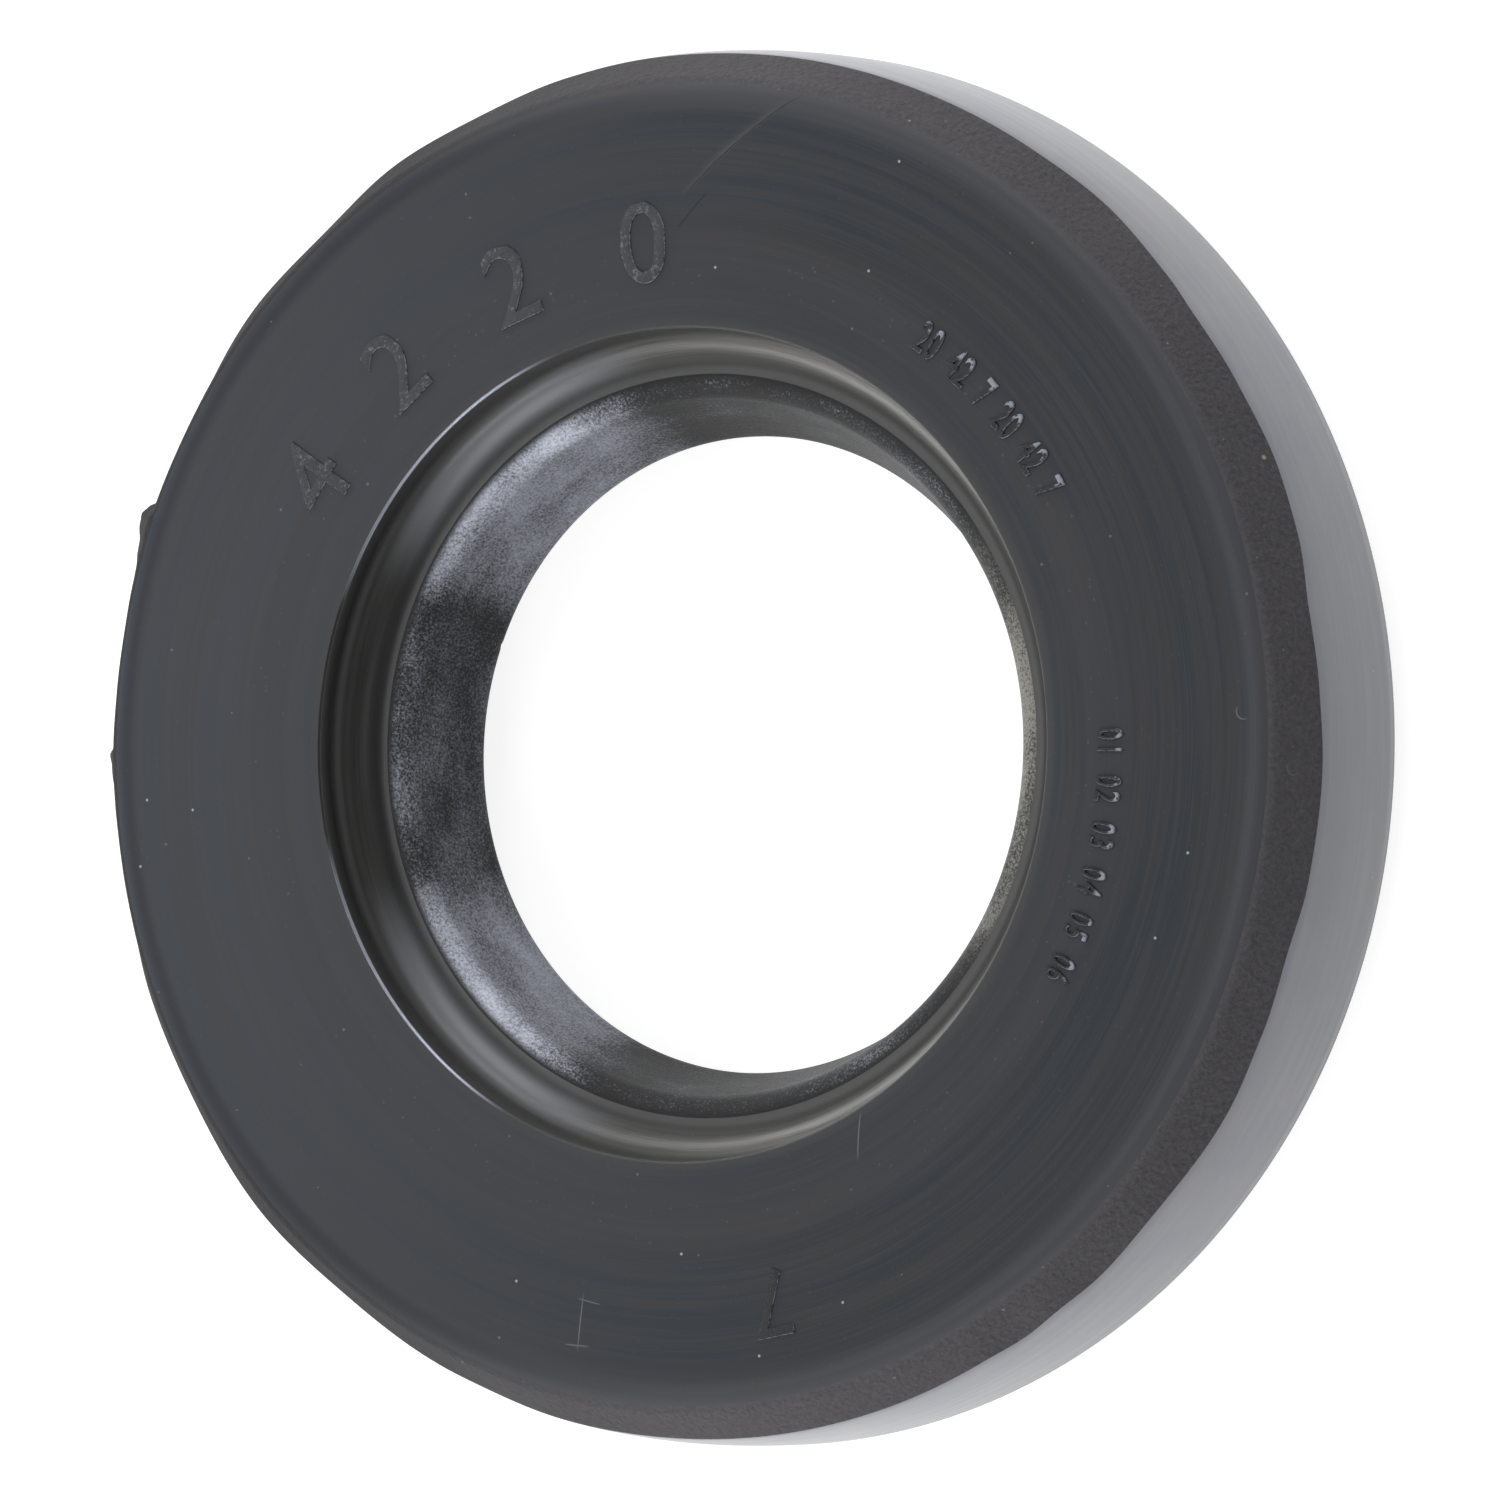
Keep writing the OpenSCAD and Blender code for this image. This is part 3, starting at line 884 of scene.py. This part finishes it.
figure_rise = 0.055
figure_bevel = 0.035
wear_depth = 0.04
wear_seed = 5
small_rise = 0.08
small_width = 0.6
row_r = 14.6

# Figures of each size: (figure, degrees, radius, height), and the small rows: (row, first
# and last degrees, height)
large_figures = [
    ("4", 150, 15.0, 2.5), ("2", 133.5, 15.0, 2.5), ("2", 115.5, 15.0, 2.5), ("0", 97.5, 15.0, 2.5),
    ("7", 284, 16.9, 2.1),
]
small_rows = [("20 42 7 20 42 7", 58, 33.5, 1.0), ("01 02 03 04 05 06", 3.5, -25.5, 0.85)]


def moulded_figure(shell, text, angle, r, height, rise, narrowed=1.0):
    """Adds a raised figure on the front face, its top outwards and its edges worn."""
    curve = bpy.data.curves.new("figure", "FONT")
    curve.body = text
    curve.align_x = "CENTER"
    curve.align_y = "CENTER"
    curve.size = height * 1.4 * MM
    curve.extrude = (rise - figure_bevel) * MM
    curve.bevel_depth = figure_bevel * MM
    curve.bevel_resolution = 2
    curve.offset = -0.6 * figure_bevel * MM
    shape = bpy.data.objects.new("figure", curve)
    bpy.context.collection.objects.link(shape)
    bpy.context.view_layer.update()
    mesh = bpy.data.meshes.new_from_object(shape.evaluated_get(bpy.context.evaluated_depsgraph_get()))
    mesh.transform(Matrix.Diagonal((narrowed, 1, 1, 1)))
    mesh.transform(Matrix.Rotation(math.radians(angle - 90), 4, "Z"))
    mesh.transform(Matrix.Translation(on_face(angle, r) * MM))
    for vertex in mesh.vertices:
        push = wear.noise_vector(vertex.co / MM * 2.3) * min(wear_depth, height / 55) * MM
        vertex.co += Vector((push.x, push.y, push.z * 0.5))
    shell.from_mesh(mesh)
    bpy.data.objects.remove(shape)


wear.seed_set(wear_seed)
figure_shell = bmesh.new()
for text, angle, r, height in large_figures:
    moulded_figure(figure_shell, text, angle, r, height, figure_rise)
for text, first, last, height in small_rows:
    for place_in_row, sign in enumerate(text):
        angle = first + (last - first) * place_in_row / (len(text) - 1)
        if sign != " ":
            moulded_figure(figure_shell, sign, angle, row_r, height, small_rise, small_width)
size_figures = new_piece("size_figures")
figure_shell.to_mesh(size_figures.data)
figure_shell.free()
face_outwards(size_figures)

# The same rubber as the face, with painted highlights in flecks on the steep sides facing +X and -Y and on
# the outer ends towards +X, painted shade on the sides facing the other way, and painted light on the
# figures towards 140 degrees
figure_finish, tree, shader, place = new_finish("raised_figure_rubber")
crumbs = noise(tree, place, 3.5, 4.0, 0.65)
fine_crumbs = noise(tree, place, 9.0, 4.0, 0.7)
figure_tone = blended(tree, crumbs, (0.0135, 0.0145, 0.0172, 1), (0.0230, 0.0240, 0.0275, 1))
normal = node(tree, "ShaderNodeTexCoord").outputs["Normal"]
leaning = node(tree, "ShaderNodeSeparateXYZ", {0: normal}).outputs
sides = ranged(tree, leaning[2], 0.7, 0.97, 1.0, 0.0)
struck_side = math_node(tree, "SUBTRACT", leaning[0], leaning[1])
on_row = turned_marks(tree, place, 1.0, 1.0)
right_side = ranged(tree, along_angle(tree, on_row["Facing"], 0), 0.5, 0.55)
outer_ends = times(tree, ranged(tree, on_row["Radius"], 14.8, 14.95), right_side)
# Bright bluish flecks on the steep sides that face +X and -Y and on the outer ends towards +X: painted
# highlights, broken up by the crumbs
side_glints = times(tree, sides, ranged(tree, fine_crumbs, 0.4, 0.55))
side_glints = times(tree, side_glints, ranged(tree, struck_side, -0.1, 0.4))
end_glints = times(tree, outer_ends, ranged(tree, crumbs, 0.42, 0.5))
glints = math_node(tree, "MAXIMUM", side_glints, end_glints)
# Lighter towards 140 degrees, with pale crumbs on the tops there: painted light, going with the face's
# painted light towards -X
figure_left_light = ranged(tree, along_angle(tree, on_row["Facing"], 140), 0.0, 0.7, 0.0, 0.75)
figure_tone = blended(tree, figure_left_light, figure_tone, (0.050, 0.052, 0.058, 1))
top_crumbs = times(tree, ranged(tree, fine_crumbs, 0.5, 0.6), ranged(tree, crumbs, 0.45, 0.6))
figure_tone = blended(tree, times(tree, top_crumbs, figure_left_light), figure_tone, (0.17, 0.175, 0.195, 1))
# Dark on the steep sides that face -X and +Y: painted shade
shaded = times(tree, sides, ranged(tree, struck_side, -0.1, -0.5))
figure_tone = blended(tree, shaded, figure_tone, (0.006, 0.006, 0.007, 1))
figure_tone = dusted(tree, place, figure_tone, 0.35, 0.05, 0.3, (0.3, 0.3, 0.31, 1), 0.6)
connect(
    tree, shader,
    Base_Color=blended(tree, glints, figure_tone, (0.28, 0.295, 0.34, 1)),
    Metallic=times(tree, glints, 0.3),
    Roughness=ranged(tree, crumbs, 0.3, 0.7, 0.5, 0.64),
    Normal=relief(tree, fine_crumbs, 0.04 * MM),
)
set_gloss(shader, 0.38)
size_figures.data.materials.clear()
size_figures.data.materials.append(figure_finish)
size_figures.data.polygons.foreach_set("material_index", [0] * len(size_figures.data.polygons))
size_figures.data.polygons.foreach_set("use_smooth", [True] * len(size_figures.data.polygons))
size_figures.data.set_sharp_from_angle(angle=math.radians(50))
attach(size_figures, "root")


# Garter spring
# Stainless wire wound into a close coil and hooked into a ring. It lies in the lip's
# groove and presses the sealing edge on the shaft.

coil_r = 0.59
wire_r = 0.21
coil_turns = 137
points_per_turn = 22

spring_finish, tree, shader, place = new_finish("drawn_spring_wire")
drawn = noise(tree, place, 5.0, 3.0)
grease = ranged(tree, noise(tree, place, 0.5, 3.0), 0.45, 0.65)
wire_tone = blended(tree, drawn, (0.40, 0.40, 0.39, 1), (0.56, 0.55, 0.53, 1))
connect(
    tree, shader,
    Base_Color=blended(tree, times(tree, grease, 0.5), wire_tone, (0.16, 0.145, 0.12, 1)),
    Roughness=ranged(tree, grease, 0.0, 1.0, 0.24, 0.42),
    Normal=relief(tree, drawn, 0.004 * MM),
)
shader.inputs["Metallic"].default_value = 1.0

coiled_ring, got, give = new_tree(
    "coiled ring",
    "GeometryNodeTree",
    [("Geometry", "NodeSocketGeometry", None), ("Ring Radius", "NodeSocketFloat", 0.01),
     ("Ring Height", "NodeSocketFloat", 0.0), ("Coil Radius", "NodeSocketFloat", 0.001),
     ("Wire Radius", "NodeSocketFloat", 0.0002), ("Turns", "NodeSocketInt", 10),
     ("Points In Turn", "NodeSocketInt", 16), ("Wire Sides", "NodeSocketInt", 8),
     ("Finish", "NodeSocketMaterial", None)],
    [("Geometry", "NodeSocketGeometry")],
)
count = times(coiled_ring, got["Turns"], got["Points In Turn"])
path = node(
    coiled_ring, "GeometryNodeCurvePrimitiveCircle",
    {"Resolution": count, "Radius": got["Ring Radius"]},
).outputs[0]
step = node(coiled_ring, "GeometryNodeInputIndex").outputs[0]
round_turn = times(coiled_ring, math_node(coiled_ring, "DIVIDE", step, count), math.tau)
coil_turn = times(coiled_ring, math_node(coiled_ring, "DIVIDE", step, got["Points In Turn"]), math.tau)
out = times(coiled_ring, math_node(coiled_ring, "COSINE", coil_turn), got["Coil Radius"])
up = times(coiled_ring, math_node(coiled_ring, "SINE", coil_turn), got["Coil Radius"])
wire_r_here = math_node(coiled_ring, "ADD", out, got["Ring Radius"])
wire_x = times(coiled_ring, wire_r_here, math_node(coiled_ring, "COSINE", round_turn))
wire_y = times(coiled_ring, wire_r_here, math_node(coiled_ring, "SINE", round_turn))
wire_z = math_node(coiled_ring, "ADD", up, got["Ring Height"])
wire_place = node(coiled_ring, "ShaderNodeCombineXYZ", {0: wire_x, 1: wire_y, 2: wire_z}).outputs[0]
wound = node(coiled_ring, "GeometryNodeSetPosition", {"Geometry": path, "Position": wire_place}).outputs[0]
wire = node(
    coiled_ring, "GeometryNodeCurvePrimitiveCircle",
    {"Resolution": got["Wire Sides"], "Radius": got["Wire Radius"]},
).outputs[0]
swept = node(coiled_ring, "GeometryNodeCurveToMesh", {"Curve": wound, "Profile Curve": wire}).outputs[0]
real = node(coiled_ring, "GeometryNodeRealizeInstances", {0: swept}).outputs[0]
finished = node(coiled_ring, "GeometryNodeSetMaterial", {"Geometry": real, "Material": got["Finish"]})
coiled_ring.links.new(finished.outputs[0], give["Geometry"])

spring = new_piece("garter_coil")
grow(
    spring, coiled_ring,
    Ring_Radius=spring_r * MM,
    Ring_Height=spring_z * MM,
    Coil_Radius=coil_r * MM,
    Wire_Radius=wire_r * MM,
    Turns=coil_turns,
    Points_In_Turn=points_per_turn,
    Wire_Sides=8,
    Finish=spring_finish,
)
settle(spring)
face_outwards(spring)
for vertex in spring.data.vertices:
    r = math.hypot(vertex.co.x, vertex.co.y) / MM
    vertex.co.y -= lip_lean * lean_share((r, vertex.co.z / MM)) * MM
spring.data.polygons.foreach_set("use_smooth", [True] * len(spring.data.polygons))
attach(spring, "root")
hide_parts("garter_spring")


# Studio
# A white table that curves up all round, soft lamps low and high on both sides, one
# behind, one above the camera, and a camera that looks down at the photo's angle.

floor_r = 1.1
cove_r = 0.45
table_line = [(0, 0), (0.05, 0), (0.2, 0), (floor_r, 0)]
table_line += arc((floor_r, cove_r), cove_r, -90, -20, 10)[1:]
table_steps = 96
table_points = []
for r, z in table_line[1:]:
    for i in range(table_steps):
        turn = math.tau * i / table_steps
        table_points.append((r * math.cos(turn), r * math.sin(turn), z))
table_faces = [tuple(range(table_steps))]
for row in range(len(table_line) - 2):
    for i in range(table_steps):
        k = (i + 1) % table_steps
        low = row * table_steps
        high = low + table_steps
        table_faces.append((low + k, low + i, high + i, high + k))
table = new_piece("white_table", table_points, [], table_faces)
table_finish = bpy.data.materials.new("white_table")
table_finish.use_nodes = True
tree = table_finish.node_tree
tree.nodes.clear()
rays = node(tree, "ShaderNodeLightPath").outputs
seen = math_node(tree, "MAXIMUM", rays["Is Camera Ray"], rays["Is Glossy Ray"])
seen = math_node(tree, "MAXIMUM", seen, rays["Is Transmission Ray"])
glow = node(tree, "ShaderNodeEmission", {"Color": (1, 1, 1, 1), "Strength": times(tree, seen, 0.85)})
matt = node(tree, "ShaderNodeBsdfDiffuse", {"Color": (0.42, 0.42, 0.42, 1)})
both = node(tree, "ShaderNodeAddShader", {0: glow.outputs[0], 1: matt.outputs[0]})
node(tree, "ShaderNodeOutputMaterial", {"Surface": both.outputs[0]})
table.data.materials.append(table_finish)
table.data.polygons.foreach_set("use_smooth", [True] * len(table.data.polygons))
table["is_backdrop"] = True


def soft_lamp(name, place, width, height, power):
    """A soft lamp turned to the middle of the seal, which the camera doesn't see."""
    data = bpy.data.lights.new(name, "AREA")
    data.shape = "RECTANGLE"
    data.size = width
    data.size_y = height
    data.energy = power
    lamp = bpy.data.objects.new(name, data)
    lamp.location = place
    lamp.rotation_euler = (-Vector(place)).to_track_quat("-Z", "Y").to_euler()
    lamp.visible_camera = False
    bpy.context.collection.objects.link(lamp)


# Each lamp: degrees from the camera's side, degrees up, distance, width, height, power.
# The ones off the middle come in pairs, one on each side of the seal.
lamps = {
    "lamp_high_side": (85, 41, 0.6, 0.26, 0.26, 0.88),
    "lamp_high_back": (130, 50, 0.6, 0.26, 0.16, 0.25),
    "lamp_low_side": (75, 6, 0.6, 0.3, 0.1, 0.54),
    "lamp_low_back": (118, 12, 0.6, 0.4, 0.16, 0.62),
    "lamp_near_corner": (150, 12, 0.22, 0.12, 0.06, 0.11),
    "lamp_front_side": (50, 28, 0.6, 0.26, 0.16, 0.13),
    "lamp_back": (180, 56, 0.6, 0.3, 0.24, 0.78),
    "lamp_front": (0, 60, 0.6, 0.2, 0.2, 0.11),
}
for name, (turn, rise, reach, width, height, power) in lamps.items():
    level_reach = reach * math.cos(math.radians(rise))
    for side in ((1,) if turn % 180 == 0 else (1, -1)):
        x = level_reach * math.cos(math.radians(turn))
        y = level_reach * math.sin(math.radians(turn)) * side
        z = reach * math.sin(math.radians(rise))
        suffix = "upper" if side > 0 else "lower"
        soft_lamp(f"{name}_{suffix}", (x, y, z), width, height, power)

world = bpy.data.worlds.new("studio")
world.use_nodes = True
world.node_tree.nodes["Background"].inputs["Color"].default_value = (0.93, 0.97, 1.0, 1)
world.node_tree.nodes["Background"].inputs["Strength"].default_value = 0.17
bpy.context.scene.world = world
bpy.context.scene.view_settings.view_transform = "Standard"

# The camera's place was worked out from the photo's ellipses
photo_size = 1500
view_turn = math.radians(29.2)
view_roll = math.radians(2.61)
focal_pixels = 14085
distance = 20 * outer_r * MM
shift_x = 0.103 * outer_r * MM
shift_y = -0.008 * outer_r * MM
sensor = 36
backwards = Vector((math.sin(view_turn), 0, math.cos(view_turn)))
level = Vector((math.cos(view_turn), 0, -math.sin(view_turn)))
upright = Vector((0, 1, 0))
right = level * math.cos(view_roll) + upright * math.sin(view_roll)
top = upright * math.cos(view_roll) - level * math.sin(view_roll)
camera_data = bpy.data.cameras.new("camera")
camera_data.sensor_width = sensor
camera_data.lens = sensor * focal_pixels / photo_size
camera_data.clip_start = 0.01
camera_data.clip_end = 10
camera = bpy.data.objects.new("camera", camera_data)
place = Vector((0, 0, front_z * MM)) + backwards * distance + right * shift_x + top * shift_y
turned = Matrix((right, top, backwards)).transposed().to_4x4()
camera.matrix_world = Matrix.Translation(place) @ turned
bpy.context.collection.objects.link(camera)
bpy.context.scene.camera = camera

low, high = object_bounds()
